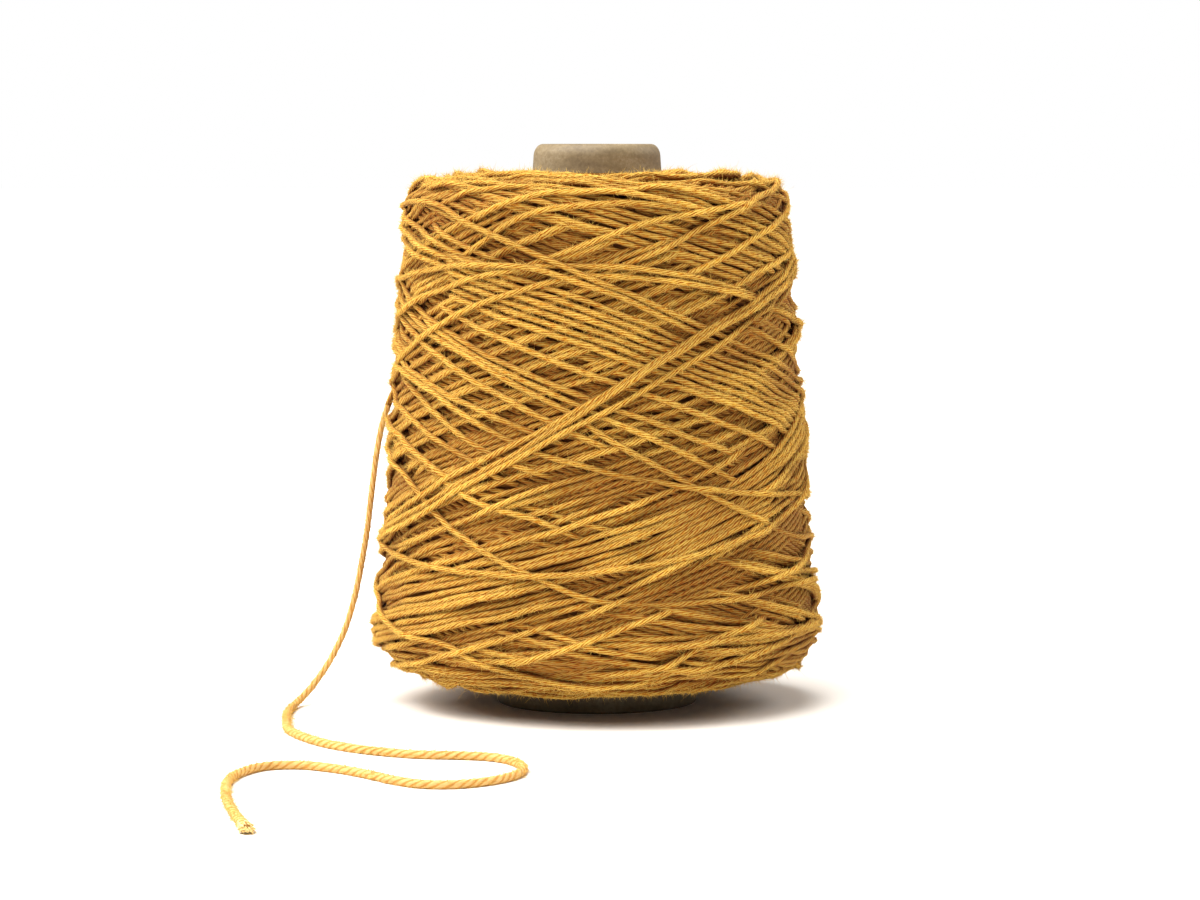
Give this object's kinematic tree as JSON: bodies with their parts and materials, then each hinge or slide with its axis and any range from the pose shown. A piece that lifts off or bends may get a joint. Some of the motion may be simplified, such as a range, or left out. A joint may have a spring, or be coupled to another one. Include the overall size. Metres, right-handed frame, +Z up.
{
  "type": "cone of yarn",
  "caption": "Mustard wool yarn cross-wound on a tapered paper cone that shows at both ends, with a loose end of yarn hanging at one side and lying in a bend on the surface in front.",
  "frame": {"origin": "centre of the paper cone's base, on the surface that it stands on", "axes": "+Z up along the cone's axis towards its nose, -Y towards the front where the loose end lies, +X to the right seen from the front"},
  "size_m": [0.1676, 0.3026, 0.17],
  "materials": {
    "paper_cone": "grey-brown pressed paper board, smooth and slightly waxy",
    "yarn": "soft mustard wool with a visible twist and short fuzz"
  },
  "bodies": {
    "root": {"paper_cone": "paper_cone", "yarn_package": "yarn", "loose_end": "yarn"}
  },
  "joints": []
}
